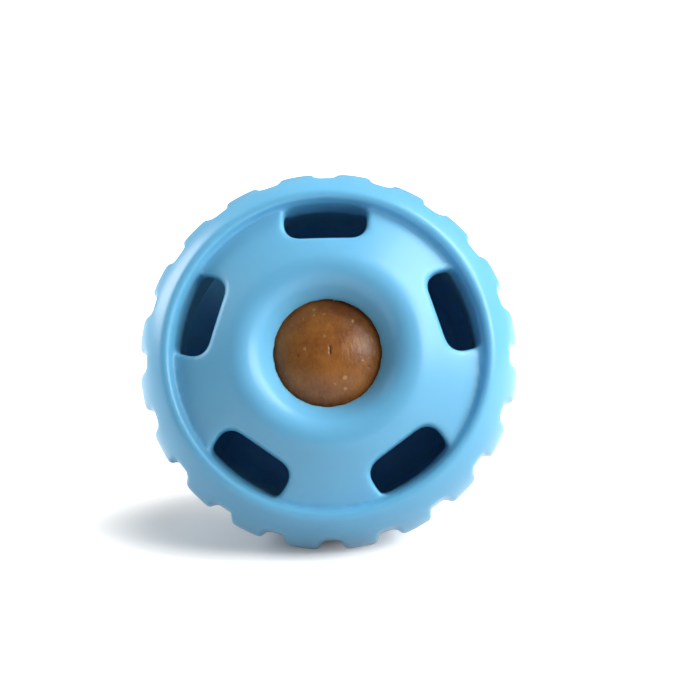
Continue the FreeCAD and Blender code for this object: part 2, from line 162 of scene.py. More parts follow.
class RearSizes(bpy.types.PropertyGroup):
    """Sizes of the cup behind the seam."""

    seam_gap: length("Seam gap", "Between the shells", 0.2)
    neck_gap: length("Neck gap", "Between the neck's end and the ledge", 0.6)
    skirt_radius: length("Skirt radius", "Rear shell at the seam", 44.7)
    skirt_height: length("Skirt height", "Straight band below the seam", 3.8)
    skirt_edge: length("Skirt edge", "Rounding of the seam's outer edge", 0.6)
    base_radius: length("Base radius", "Flat base", 32.5)
    base_edge: length("Base edge", "Rounding between base and side", 6.0)
    bowl_mouth: length("Bowl mouth", "Inside radius of the bowl at its ledge", 37.3)
    bowl_corner: length("Bowl corner", "Rounding inside the bowl", 6.0)
    rib_thickness: length("Rib thickness", "Cradle rib", 2.6)
    rib_top: length("Rib top", "Depth of a rib's top below the seam", 14.0)
    rib_foot: length("Rib foot", "Distance of a rib's inner end from the axis", 10.0)
    rib_root: length("Rib root", "How far a rib is rooted in the bowl", 1.5)


class TreatSizes(bpy.types.PropertyGroup):
    """Sizes of the treat."""

    radius: length("Radius", "Treat ball", 22.5)
    clearance: length("Clearance", "Between the ball and what holds it", 0.3)
    lump_size: length("Lump size", "Breadth of the hand-rolled lumps", 9.0)
    lump_depth: length("Lump depth", "Between their tops and hollows", 0.3)
    pit_spacing: length("Pit spacing", "Between the places where a pit may lie", 3.4)
    pit_radius: length("Pit radius", "Largest pit", 0.75)
    pit_depth: length("Pit depth", "Deepest pit", 0.35)
    crack_length: length("Crack length", "Short crack in the visible face", 1.9)
    crack_width: length("Crack width", "From its middle to its lips", 0.34)


class Finish(bpy.types.PropertyGroup):
    """Colours of the rubber and the treat, and how fine the rubber's mesh is."""

    rubber: colour("Rubber", "Pigment of the shells", "#6cbae2")
    dough: colour("Dough", "Baked treat", "#985f26")
    crust: colour("Crust", "Darker baked patches", "#6f3c10")
    grain: colour("Grain", "Pale crumbs of meal", "#c8a06a")
    # Painted shade: a near-black brown laid into the bottom of the pits and the crack
    painted_pit_shade: colour("Pit shade", "Bottom of the pits and the crack", "#2e1405")
    voxel: length("Mesh size", "Edge of the rubber's mesh", 0.59)


class StageSettings(bpy.types.PropertyGroup):
    """Camera, lamps, room and floor."""

    distance: length("Camera distance", "From the rim to the camera", 900)
    tilt: angle("Camera tilt", "From the toy's axis down to the line of sight", 7.7)
    azimuth: angle("Camera azimuth", "To the right of straight on", 0.6)
    roll: angle("Camera roll", "Clockwise about the line of sight", 1.3)
    lamp_distance: length("Lamp distance", "From the rim to each lamp", 900)
    key_power: strength("Key power", "Soft lamp at the upper right, in watts", 4.5)
    top_power: strength("Top power", "Soft lamp above, in watts", 5.8)
    spot_power: strength("Spot power", "Small lamp that glints on the treat, in watts", 1.7)
    side_power: strength("Side power", "Soft lamp at the left, in watts", 6.4)
    room_light: strength("Room light", "Pale room behind the toy", 0.3)
    front_light: strength("Front light", "Darker room behind the camera", 0.26)
    paper: colour("Paper", "White seamless paper, as the camera sees it", "#e7e5e3")
    paper_return: colour("Paper's return", "What the paper gives back to the toy", "#b3b3b3")


def add(tree, kind, inputs=(), **settings):
    """Adds a node, gives it its settings, and sets or links its inputs by name or place."""
    node = tree.nodes.new(kind)
    for key, value in settings.items():
        setattr(node, key, value)
    for key, value in dict(inputs).items():
        if isinstance(value, bpy.types.NodeSocket):
            tree.links.new(value, node.inputs[key])
        else:
            node.inputs[key].default_value = value
    return node


def empty_material(name):
    """A node material with no nodes yet, and its tree."""
    material = bpy.data.materials.new(name)
    material.use_nodes = True
    material.node_tree.nodes.clear()
    return material, material.node_tree


def moulded_rubber(finish):
    """Natural rubber, compression moulded: a satin skin with the mould's faint blasted grain."""
    material, tree = empty_material("natural_rubber_moulded")
    place = add(tree, "ShaderNodeTexCoord").outputs["Object"]
    # Pigment that mixed a little unevenly, in clouds of about 25 mm
    clouds = add(
        tree, "ShaderNodeTexNoise", {"Vector": place, "Scale": 1 / (25 * MM), "Detail": 2.0}
    )
    tone = add(
        tree,
        "ShaderNodeMapRange",
        {
            "Value": clouds.outputs["Fac"],
            "From Min": 0.3,
            "From Max": 0.7,
            "To Min": 0.97,
            "To Max": 1.03,
        },
    )
    pigment = add(
        tree,
        "ShaderNodeHueSaturation",
        {"Color": (*finish.rubber, 1.0), "Value": tone.outputs["Result"]},
    )
    # The blasted mould's grain is about 0.1 mm: 0.35 mm here, so that the render can hold it
    grain = add(
        tree, "ShaderNodeTexNoise", {"Vector": place, "Scale": 1 / (0.35 * MM), "Detail": 1.0}
    )
    sheen = add(
        tree,
        "ShaderNodeMapRange",
        {"Value": grain.outputs["Fac"], "To Min": 0.31, "To Max": 0.41},
    )
    relief = add(
        tree,
        "ShaderNodeBump",
        {"Height": grain.outputs["Fac"], "Strength": 0.12, "Distance": 0.02 * MM},
    )
    # Light sinks a few millimetres into the rubber, so its shaded hollows stay a deep clear blue
    shader = add(
        tree,
        "ShaderNodeBsdfPrincipled",
        {
            "Base Color": pigment.outputs["Color"],
            "Roughness": sheen.outputs["Result"],
            "IOR": 1.52,
            "Subsurface Weight": 0.4,
            "Subsurface Radius": (0.55, 0.9, 1.0),
            "Subsurface Scale": 5 * MM,
            "Normal": relief.outputs["Normal"],
        },
    )
    output = add(tree, "ShaderNodeOutputMaterial", {"Surface": shader.outputs["BSDF"]})
    output.is_active_output = True
    return material


def shared_rubber(finish):
    """The rubber of both shells, made when the first of them needs it."""
    return bpy.data.materials.get("natural_rubber_moulded") or moulded_rubber(finish)


def baked_dough(finish):
    """Baked dough: warm brown, mottled, with pale crumbs in it, a faint broken sheen and painted
    shade in its pits and crack.
    """
    material, tree = empty_material("baked_dough")
    place = add(tree, "ShaderNodeTexCoord").outputs["Object"]
    # Patches that browned more, about 9 mm across, with ragged edges
    patches = add(
        tree,
        "ShaderNodeTexNoise",
        {"Vector": place, "Scale": 1 / (9 * MM), "Detail": 6.0, "Roughness": 0.72},
    )
    browned = add(
        tree,
        "ShaderNodeMapRange",
        {"Value": patches.outputs["Fac"], "From Min": 0.38, "From Max": 0.64},
    )
    dough = add(
        tree,
        "ShaderNodeMix",
        {"Factor": browned.outputs["Result"], 6: (*finish.dough, 1.0), 7: (*finish.crust, 1.0)},
        data_type="RGBA",
    )
    # Crumbs of meal, mostly under 1 mm and ragged, in some of the cells of 2.4 mm
    rag = add(tree, "ShaderNodeTexNoise", {"Vector": place, "Scale": 1 / (0.8 * MM), "Detail": 2.0})
    ragged = add(
        tree,
        "ShaderNodeVectorMath",
        {0: rag.outputs["Color"], 1: (0.9 * MM, 0.9 * MM, 0.9 * MM), 2: place},
        operation="MULTIPLY_ADD",
    )
    meal = add(
        tree, "ShaderNodeTexVoronoi", {"Vector": ragged.outputs[0], "Scale": 1 / (2.4 * MM)}
    )
    chance = add(tree, "ShaderNodeSeparateColor", {"Color": meal.outputs["Color"]})
    reach = add(
        tree,
        "ShaderNodeMapRange",
        {"Value": chance.outputs["Red"], "From Min": 0.55, "To Max": 0.32},
    )
    inside = add(
        tree,
        "ShaderNodeMath",
        {0: reach.outputs["Result"], 1: meal.outputs["Distance"]},
        operation="SUBTRACT",
    )
    speck = add(
        tree,
        "ShaderNodeMapRange",
        {"Value": inside.outputs[0], "From Max": 0.14, "To Max": 0.5},
    )
    speckled = add(
        tree,
        "ShaderNodeMix",
        {"Factor": speck.outputs["Result"], 6: dough.outputs[2], 7: (*finish.grain, 1.0)},
        data_type="RGBA",
    )
    # The skin's own attribute says how deep each point lies in a pit or in the crack, and there a
    # painted shade darkens the dough to near-black
    pit = add(tree, "ShaderNodeAttribute", attribute_name="pit")
    pit_shaded = add(
        tree,
        "ShaderNodeMix",
        {"Factor": pit.outputs["Fac"], 6: speckled.outputs[2], 7: (*finish.painted_pit_shade, 1.0)},
        data_type="RGBA",
    )
    # Wrinkles of the drying skin, about 1 mm apart and longer than wide
    stretched = add(tree, "ShaderNodeMapping", {"Vector": place, "Scale": (1.0, 1.0, 0.4)})
    wrinkles = add(
        tree,
        "ShaderNodeTexNoise",
        {
            "Vector": stretched.outputs[0],
            "Scale": 1 / (1.1 * MM),
            "Detail": 3.0,
            "Roughness": 0.6,
        },
    )
    relief = add(
        tree,
        "ShaderNodeBump",
        {"Height": wrinkles.outputs["Fac"], "Strength": 0.5, "Distance": 0.25 * MM},
    )
    gloss = add(
        tree,
        "ShaderNodeMapRange",
        {
            "Value": wrinkles.outputs["Fac"],
            "From Min": 0.3,
            "From Max": 0.7,
            "To Min": 0.26,
            "To Max": 0.42,
        },
    )
    shader = add(
        tree,
        "ShaderNodeBsdfPrincipled",
        {
            "Base Color": pit_shaded.outputs[2],
            "Roughness": gloss.outputs["Result"],
            "IOR": 1.42,
            "Normal": relief.outputs["Normal"],
        },
    )
    output = add(tree, "ShaderNodeOutputMaterial", {"Surface": shader.outputs["BSDF"]})
    output.is_active_output = True
    return material


def arc(centre, radius, start, end, step=0.3 * MM):
    """Points (r, z) along a circle's arc, from one angle to another in radians."""
    count = max(2, round(abs(end - start) * radius / step))
    angles = [start + (end - start) * place / count for place in range(count + 1)]
    return [
        (centre[0] + radius * math.cos(turn), centre[1] + radius * math.sin(turn))
        for turn in angles
    ]


def bend(centre, radius, start, end, steps=8):
    """An arc of so many steps, for outlines that need like numbers of points."""
    return arc(centre, radius, start, end, abs(end - start) * radius / steps)


def mesh_object(name, mesh):
    """A new object in the scene for this mesh."""
    piece = bpy.data.objects.new(name, mesh)
    bpy.context.scene.collection.objects.link(piece)
    return piece


def spun(name, outline, closed, steps=480):
    """A body turned about the axis from an outline of (r, z) points with the solid on its left."""
    mesh = bpy.data.meshes.new(name)
    form = bmesh.new()
    line = [form.verts.new((r, 0, z)) for r, z in outline]
    edges = [form.edges.new(pair) for pair in zip(line, line[1:])]
    if closed:
        edges.append(form.edges.new((line[-1], line[0])))
    bmesh.ops.spin(
        form,
        geom=line + edges,
        cent=(0, 0, 0),
        axis=(0, 0, 1),
        angle=2 * math.pi,
        steps=steps,
        use_merge=True,
    )
    bmesh.ops.remove_doubles(form, verts=form.verts, dist=0.001 * MM)
    bmesh.ops.recalc_face_normals(form, faces=form.faces)
    form.to_mesh(mesh)
    form.free()
    return mesh_object(name, mesh)


def skinned(name, sections):
    """A closed solid between like sections of points, capped at its ends."""
    mesh = bpy.data.meshes.new(name)
    form = bmesh.new()
    rows = [[form.verts.new(point) for point in section] for section in sections]
    for low, high in zip(rows, rows[1:]):
        for place in range(len(low)):
            follow = (place + 1) % len(low)
            form.faces.new((low[place], low[follow], high[follow], high[place]))
    form.faces.new(list(reversed(rows[0])))
    form.faces.new(rows[-1])
    bmesh.ops.recalc_face_normals(form, faces=form.faces)
    form.to_mesh(mesh)
    form.free()
    return mesh_object(name, mesh)


def bead_middle(front):
    """Height of the bead's centre above the seam."""
    return front.bead_height - front.bead_radius


def over_ring(front, rounding, turn):
    """The point on a rounding about the ring's middle, this far outwards from its crest."""
    middle = front.ring_crest - front.ring_round
    return front.ring_radius + rounding * math.sin(turn), middle + rounding * math.cos(turn)


def dome_foot(front):
    """Where the dome meets the lip's inner wall, before that corner is rounded."""
    lip_radius = front.bead_ring - front.bead_radius * math.sin(front.lip_slope)
    lip_height = bead_middle(front) + front.bead_radius * math.cos(front.lip_slope)
    top_radius, top_height = over_ring(front, front.ring_round, front.dome_slope)
    dome_fall, lip_fall = math.tan(front.dome_slope), math.tan(front.lip_slope)
    lead = top_height - lip_height + top_radius * dome_fall + lip_radius * lip_fall
    radius = lead / (dome_fall + lip_fall)
    return radius, top_height - (radius - top_radius) * dome_fall


def under_height(front, threads):
    """Height of the dome's underside at the neck."""
    radius, height = over_ring(front, front.ring_round - front.wall, front.dome_slope)
    return height - (threads.neck_bore - radius) * math.tan(front.dome_slope)


def hole_height(front):
    """Height of the hole's edge, where the funnel meets the ball's seat."""
    radius, height = over_ring(front, front.ring_round, -front.funnel_slope)
    return height - (radius - front.hole_radius) * math.tan(front.funnel_slope)


def seat_radius(treat):
    """Radius of the hollows that hold the treat."""
    return treat.radius + treat.clearance


def ball_depth(front, treat):
    """Depth of the treat's centre below the seam, where it meets the hole's edge."""
    return math.sqrt(seat_radius(treat) ** 2 - front.hole_radius**2) - hole_height(front)


def collar_radius(front, treat):
    """Where the funnel's underside runs out into the ball's seat."""
    slope = front.funnel_slope
    radius, height = over_ring(front, front.ring_round - front.wall, -slope)
    drop = height + ball_depth(front, treat)
    along = radius * math.cos(slope) + drop * math.sin(slope)
    aside = radius * math.sin(slope) - drop * math.cos(slope)
    run = along - math.sqrt(seat_radius(treat) ** 2 - aside**2)
    return radius - run * math.cos(slope)


def neck_radius(threads):
    """Outside of the neck under its thread."""
    return threads.neck_bore + threads.neck_wall


def bore_radius(threads):
    """Inside of the rear shell's mouth under its thread."""
    return neck_radius(threads) + threads.ridge_height + threads.clearance


def half_ridge(threads):
    """Half the width of a thread ridge, midway up its flanks."""
    return threads.lead / threads.starts / 4 - threads.play / 2


def neck_ridge_start(threads):
    """Height at which the neck's ridges start, clear of its end."""
    return half_ridge(threads) + threads.draft + threads.margin - threads.neck_length


def front_outline(front, threads, treat):
    """The front shell's section, from the neck's inner end outwards and round."""
    quarter = math.pi / 2
    bead = (front.bead_ring, bead_middle(front))
    run = front.tip_radius - bead[0] - front.bead_radius * math.cos(front.shoulder_end)
    rise = bead[1] + front.bead_radius * math.sin(front.shoulder_end) - front.tread_width
    shoulder = (run**2 + rise**2) / (2 * run)
    foot = dome_foot(front)
    lip, dome = front.lip_slope, front.dome_slope
    reach = front.dome_corner * math.tan((lip + dome) / 2)
    corner = (
        foot[0] + reach * math.cos(lip) - front.dome_corner * math.sin(lip),
        foot[1] + reach * math.sin(lip) + front.dome_corner * math.cos(lip),
    )
    ring = (front.ring_radius, front.ring_crest - front.ring_round)
    seat = seat_radius(treat)
    middle = (0, -ball_depth(front, treat))
    edge_turn = math.acos(front.hole_radius / seat)
    collar_turn = math.acos(collar_radius(front, treat) / seat)
    over, under = quarter - dome, quarter + front.funnel_slope
    neck = neck_radius(threads)
    points = [(threads.neck_bore, -threads.neck_length), (neck, -threads.neck_length), (neck, 0)]
    points.append((front.tip_radius, 0))
    points += arc(
        (front.tip_radius - shoulder, front.tread_width), shoulder, 0, math.asin(rise / shoulder)
    )
    points += arc(bead, front.bead_radius, front.shoulder_end, quarter + lip)[1:]
    points += arc(corner, front.dome_corner, lip - quarter, -quarter - dome)
    points += arc(ring, front.ring_round, over, under)
    points += arc(middle, seat, edge_turn, collar_turn)
    points += arc(ring, front.ring_round - front.wall, under, over)
    points.append((threads.neck_bore, under_height(front, threads)))
    return points


def slot_tool(front, threads):
    """The tool that cuts the top slot: upright walls, with the outer one leaning in below."""
    half = front.slot_length / 2
    quarter = math.pi / 2
    reach = dome_foot(front)[0] - front.slot_rim
    levels = (
        (threads.neck_bore, under_height(front, threads) - front.slot_relief),
        (reach, front.bead_height - front.slot_knee),
        (reach, front.ring_crest),
    )
    sections = []
    for outer, height in levels:
        low = (half - front.slot_corner, front.slot_inner + front.slot_corner)
        inset = half - front.slot_outer_corner
        high = (inset, math.sqrt((outer - front.slot_outer_corner) ** 2 - inset**2))
        end = math.atan2(high[1], high[0])
        plan = bend(low, front.slot_corner, -quarter, 0)
        plan += bend(high, front.slot_outer_corner, 0, end)
        plan += bend((0, 0), outer, end, quarter)[1:]
        plan += [(-x, y) for x, y in reversed(plan[:-1])]
        sections.append([(x, y, height) for x, y in plan])
    return skinned("slot_tool", sections)


def notch_tool(front):
    """The tool that cuts the top notch of the rim."""
    spill = 1 * MM
    flare = (front.notch_mouth - front.notch_floor) / 2 / front.notch_depth
    floor = front.tip_radius - front.notch_depth
    half_low = front.notch_floor / 2
    half_high = half_low + flare * (front.notch_depth + spill)
    plan = (
        (-half_low, floor),
        (half_low, floor),
        (half_high, front.tip_radius + spill),
        (-half_high, front.tip_radius + spill),
    )
    sections = [[(x, y, z) for x, y in plan] for z in (-spill, front.bead_height + spill)]
    return skinned("notch_tool", sections)


def ridge_tool(name, threads, root, tip, low, high, steps=90):
    """One thread ridge, climbing from one height to another, that starts at the +X side."""
    half = half_ridge(threads)
    flank = ((root, -half - threads.draft), (tip, -half + threads.draft))
    section = (*flank, (tip, half - threads.draft), (root, half + threads.draft))
    sweep = (high - low) / threads.lead * 2 * math.pi
    sections = []
    for place in range(steps + 1):
        turn = sweep * place / steps
        climb = low + (high - low) * place / steps
        sections.append(
            [(r * math.cos(turn), r * math.sin(turn), climb + z) for r, z in section]
        )
    return skinned(name, sections)


def start_tree(name, **kinds):
    """A geometry node tree that takes these inputs between its geometry and its material."""
    tree = bpy.data.node_groups.new(name, "GeometryNodeTree")
    for key, kind in {"geometry": "Geometry", **kinds, "material": "Material"}.items():
        label = key.replace("_", " ").title()
        tree.interface.new_socket(label, in_out="INPUT", socket_type=f"NodeSocket{kind}")
    tree.interface.new_socket("Geometry", in_out="OUTPUT", socket_type="NodeSocketGeometry")
    return tree, add(tree, "NodeGroupInput").outputs


def end_tree(tree, given, geometry):
    """Makes the tree's instances real and gives its faces their material."""
    real = add(tree, "GeometryNodeRealizeInstances", {"Geometry": geometry})
    painted = add(
        tree,
        "GeometryNodeSetMaterial",
        {"Geometry": real.outputs[0], "Material": given["Material"]},
    )
    add(tree, "NodeGroupOutput", {"Geometry": painted.outputs[0]})
    return tree


def ring_tree(operation):
    """Geometry nodes that cut or join a tool, repeated round the axis, with the body."""
    tree, given = start_tree(
        f"{operation.lower()}_round_axis", tool="Object", count="Int", first_angle="Float"
    )
    share = add(
        tree, "ShaderNodeMath", {0: 2 * math.pi, 1: given["Count"]}, operation="DIVIDE"
    )
    index = add(tree, "GeometryNodeInputIndex")
    turn = add(
        tree,
        "ShaderNodeMath",
        {0: index.outputs[0], 1: share.outputs[0], 2: given["First Angle"]},
        operation="MULTIPLY_ADD",
    )
    spin = add(tree, "ShaderNodeCombineXYZ", {"Z": turn.outputs[0]})
    places = add(tree, "GeometryNodePoints", {"Count": given["Count"]})
    tool = add(tree, "GeometryNodeObjectInfo", {"Object": given["Tool"]})
    copies = add(
        tree,
        "GeometryNodeInstanceOnPoints",
        {
            "Points": places.outputs[0],
            "Instance": tool.outputs["Geometry"],
            "Rotation": spin.outputs[0],
        },
    )
    solid = add(tree, "GeometryNodeRealizeInstances", {0: copies.outputs[0]})
    joined = add(tree, "GeometryNodeMeshBoolean", operation=operation, solver="MANIFOLD")
    # A cut takes its tools from the first mesh, and a union joins all that the second one gets
    body = joined.inputs["Mesh 1" if operation == "DIFFERENCE" else "Mesh 2"]
    tree.links.new(given["Geometry"], body)
    tree.links.new(solid.outputs[0], joined.inputs["Mesh 2"])
    return end_tree(tree, given, joined.outputs["Mesh"])


def soften_tree():
    """Geometry nodes that round a mesh's edges, less and less between two radii."""
    tree, given = start_tree(
        "soften_edges",
        passes="Int",
        soft_within="Float",
        crisp_beyond="Float",
        crisp_weight="Float",
    )
    place = add(tree, "GeometryNodeInputPosition").outputs[0]
    flat = add(
        tree, "ShaderNodeVectorMath", {0: place, 1: (1, 1, 0)}, operation="MULTIPLY"
    )
    across = add(tree, "ShaderNodeVectorMath", {0: flat.outputs[0]}, operation="LENGTH")
    weight = add(
        tree,
        "ShaderNodeMapRange",
        {
            "Value": across.outputs["Value"],
            "From Min": given["Soft Within"],
            "From Max": given["Crisp Beyond"],
            "To Min": 1.0,
            "To Max": given["Crisp Weight"],
        },
    )
    blurred = add(
        tree,
        "GeometryNodeBlurAttribute",
        {"Value": place, "Iterations": given["Passes"], "Weight": weight.outputs[0]},
        data_type="FLOAT_VECTOR",
    )
    moved = add(
        tree,
        "GeometryNodeSetPosition",
        {"Geometry": given["Geometry"], "Position": blurred.outputs[0]},
    )
    smooth = add(tree, "GeometryNodeSetShadeSmooth", {0: moved.outputs[0]})
    return end_tree(tree, given, smooth.outputs[0])


def skin_tree():
    """Geometry nodes that give the treat its lumps, pits and crack, all of them inwards."""
    tree, given = start_tree(
        "treat_skin",
        lump_size="Float",
        lump_depth="Float",
        pit_spacing="Float",
        pit_radius="Float",
        pit_depth="Float",
        crack_length="Float",
        crack_width="Float",
        crack_place="Vector",
    )
    place = add(tree, "GeometryNodeInputPosition").outputs[0]
    outwards = add(tree, "GeometryNodeInputNormal").outputs[0]

    lump_scale = add(tree, "ShaderNodeMath", {0: 1.0, 1: given["Lump Size"]}, operation="DIVIDE")
    lumps = add(
        tree,
        "ShaderNodeTexNoise",
        {"Vector": place, "Scale": lump_scale.outputs[0], "Detail": 2.0},
    )
    hollow = add(
        tree,
        "ShaderNodeMath",
        {0: lumps.outputs[0], 1: given["Lump Depth"]},
        operation="MULTIPLY",
    )

    pit_scale = add(tree, "ShaderNodeMath", {0: 1.0, 1: given["Pit Spacing"]}, operation="DIVIDE")
    pits = add(
        tree, "ShaderNodeTexVoronoi", {"Vector": place, "Scale": pit_scale.outputs[0]}
    )
    chance = add(tree, "FunctionNodeSeparateColor", {0: pits.outputs["Color"]})
    reach = add(
        tree,
        "ShaderNodeMath",
        {0: given["Pit Radius"], 1: pit_scale.outputs[0]},
        operation="MULTIPLY",
    )
    wide = add(
        tree,
        "ShaderNodeMapRange",
        {"Value": chance.outputs[0], "From Min": 0.5, "To Max": reach.outputs[0]},
    )
    inside = add(
        tree,
        "ShaderNodeMath",
        {0: wide.outputs[0], 1: pits.outputs["Distance"]},
        operation="SUBTRACT",
    )
    pit = add(
        tree,
        "ShaderNodeMapRange",
        {"Value": inside.outputs[0], "From Max": reach.outputs[0]},
        interpolation_type="SMOOTHSTEP",
    )

    # The crack runs up and down: a point's distance is measured from the nearest point of its line
    away = add(
        tree, "ShaderNodeVectorMath", {0: place, 1: given["Crack Place"]}, operation="SUBTRACT"
    )
    parts = add(tree, "ShaderNodeSeparateXYZ", {0: away.outputs[0]})
    half = add(tree, "ShaderNodeMath", {0: given["Crack Length"], 1: 0.5}, operation="MULTIPLY")
    height = add(tree, "ShaderNodeMath", {0: parts.outputs["Y"]}, operation="ABSOLUTE")
    past = add(
        tree, "ShaderNodeMath", {0: height.outputs[0], 1: half.outputs[0]}, operation="SUBTRACT"
    )
    beyond = add(tree, "ShaderNodeMath", {0: past.outputs[0], 1: 0.0}, operation="MAXIMUM")
    nearest = add(
        tree,
        "ShaderNodeCombineXYZ",
        {"X": parts.outputs["X"], "Y": beyond.outputs[0], "Z": parts.outputs["Z"]},
    )
    gap = add(tree, "ShaderNodeVectorMath", {0: nearest.outputs[0]}, operation="LENGTH")
    crack = add(
        tree,
        "ShaderNodeMapRange",
        {
            "Value": gap.outputs["Value"],
            "From Max": given["Crack Width"],
            "To Min": 1.0,
            "To Max": 0.0,
        },
        interpolation_type="SMOOTHSTEP",
    )
    deepest = add(
        tree, "ShaderNodeMath", {0: pit.outputs[0], 1: crack.outputs[0]}, operation="MAXIMUM"
    )
    inwards = add(
        tree,
        "ShaderNodeMath",
        {0: deepest.outputs[0], 1: given["Pit Depth"], 2: hollow.outputs[0]},
        operation="MULTIPLY_ADD",
    )
    back = add(tree, "ShaderNodeMath", {0: inwards.outputs[0], 1: -1.0}, operation="MULTIPLY")
    offset = add(
        tree, "ShaderNodeVectorMath", {0: outwards, "Scale": back.outputs[0]}, operation="SCALE"
    )
    marked = add(
        tree,
        "GeometryNodeStoreNamedAttribute",
        {"Geometry": given["Geometry"], "Name": "pit", "Value": deepest.outputs[0]},
        data_type="FLOAT",
        domain="POINT",
    )
    moved = add(
        tree,
        "GeometryNodeSetPosition",
        {"Geometry": marked.outputs[0], "Offset": offset.outputs[0]},
    )
    smooth = add(tree, "GeometryNodeSetShadeSmooth", {0: moved.outputs[0]})
    return end_tree(tree, given, smooth.outputs[0])


def attach(piece, tree, **values):
    """Adds a geometry nodes modifier and sets its inputs by their sockets' identifiers."""
    modifier = piece.modifiers.new(tree.name, "NODES")
    modifier.node_group = tree
    for item in tree.interface.items_tree:
        key = item.name.lower().replace(" ", "_")
        if item.in_out == "INPUT" and key in values:
            modifier[item.identifier] = values[key]


def settle(piece, name):
    """The piece as its modifiers leave it, as a plain mesh object in the row frame."""
    graph = bpy.context.evaluated_depsgraph_get()
    mesh = bpy.data.meshes.new_from_object(piece.evaluated_get(graph))
    mesh.name = name
    mesh.transform(TOY_TO_ROW)
    for modifier in list(piece.modifiers):
        piece.modifiers.remove(modifier)
    piece.data = mesh
    piece.name = name
    return piece


def discard(*tools):
    """Removes the tools once they have cut or joined."""
    for tool in tools:
        bpy.data.objects.remove(tool)


class TOY_OT_front_shell(bpy.types.Operator):
    """Build the toothed front shell with its slots, ring, funnel, seat and threaded neck"""

    bl_idname = "dogtoy.front_shell"
    bl_label = "Front Shell"

    def execute(self, context):
        toy = context.scene.dog_toy
        front, threads = toy.front, toy.threads
        rubber = shared_rubber(toy.finish)
        neck = neck_radius(threads)
        ridge = ridge_tool(
            "neck_ridge_tool",
            threads,
            neck - threads.root,
            neck + threads.ridge_height,
            neck_ridge_start(threads),
            0,
        )
        slot = slot_tool(front, threads)
        notch = notch_tool(front)
        shell = spun("front_shell_form", front_outline(front, threads, toy.treat), closed=True)
        cut, join = ring_tree("DIFFERENCE"), ring_tree("UNION")
        shared = {"first_angle": 0.0, "material": rubber}
        attach(shell, cut, tool=slot, count=front.slot_count, **shared)
        attach(shell, cut, tool=notch, count=front.notch_count, **shared)
        attach(shell, join, tool=ridge, count=threads.starts, **shared)
        remesh = shell.modifiers.new("even_mesh", "REMESH")
        remesh.mode = "VOXEL"
        remesh.voxel_size = toy.finish.voxel
        attach(
            shell,
            soften_tree(),
            passes=6,
            soft_within=dome_foot(front)[0],
            crisp_beyond=front.tip_radius - front.notch_depth,
            crisp_weight=0.35,
            material=rubber,
        )
        piece = settle(shell, "front_shell_rubber")
        discard(slot, notch, ridge)
        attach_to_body(piece, "front_shell")
        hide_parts("front_shell")
        return {"FINISHED"}


def rear_outline(front, threads, rear, treat):
    """The rear shell's section, from the middle of its base outwards and round."""
    floor = ball_depth(front, treat) + seat_radius(treat)
    base = floor + front.wall
    edge_depth = base - rear.base_edge
    ledge = threads.neck_length + rear.neck_gap
    lean = side_lean(front, rear, treat)
    bore = bore_radius(threads)
    bend_depth = floor - rear.bowl_corner
    bend_radius = rear.bowl_mouth - (bend_depth - ledge) * math.tan(lean)
    flat = bend_radius - rear.bowl_corner / math.cos(lean)
    quarter = math.pi / 2
    skirt = (rear.skirt_radius - rear.skirt_edge, -rear.seam_gap - rear.skirt_edge)
    points = [(0, -base)]
    points += arc((rear.base_radius, -edge_depth), rear.base_edge, -quarter, -lean)
    points.append((rear.skirt_radius, -rear.seam_gap - rear.skirt_height))
    points += arc(skirt, rear.skirt_edge, 0, quarter, step=0.1 * MM)
    points += [(bore, -rear.seam_gap), (bore, -ledge), (rear.bowl_mouth, -ledge)]
    points += arc((flat, -bend_depth), rear.bowl_corner, -lean, -quarter)
    points.append((0, -floor))
    return points


def side_lean(front, rear, treat):
    """How far the rear shell's side leans in towards the base."""
    base = ball_depth(front, treat) + seat_radius(treat) + front.wall
    run = rear.skirt_radius - rear.base_radius
    drop = base - rear.base_edge - rear.seam_gap - rear.skirt_height
    return math.atan(run / drop) - math.asin(rear.base_edge / math.hypot(run, drop))


def rib_tool(front, threads, rear, treat):
    """One cradle rib on the +X side, with its inner edge round the treat."""
    seat = seat_radius(treat)
    depth = ball_depth(front, treat)
    floor = depth + seat
    ledge = threads.neck_length + rear.neck_gap
    lean = side_lean(front, rear, treat)
    rooted = -(floor + rear.rib_root)
    outer = rear.bowl_mouth - (rear.rib_top - ledge) * math.tan(lean) + rear.rib_root
    low = rear.bowl_mouth - (floor - rear.bowl_corner - ledge) * math.tan(lean)
    start = -math.asin((rear.rib_top - depth) / seat)
    end = -math.acos(rear.rib_foot / seat)
    section = [(rear.rib_foot, rooted), (low, rooted), (outer, -rear.rib_top)]
    section += arc((0, -depth), seat, start, end)
    half = rear.rib_thickness / 2
    return skinned("rib_tool", [[(r, y, z) for r, z in section] for y in (-half, half)])


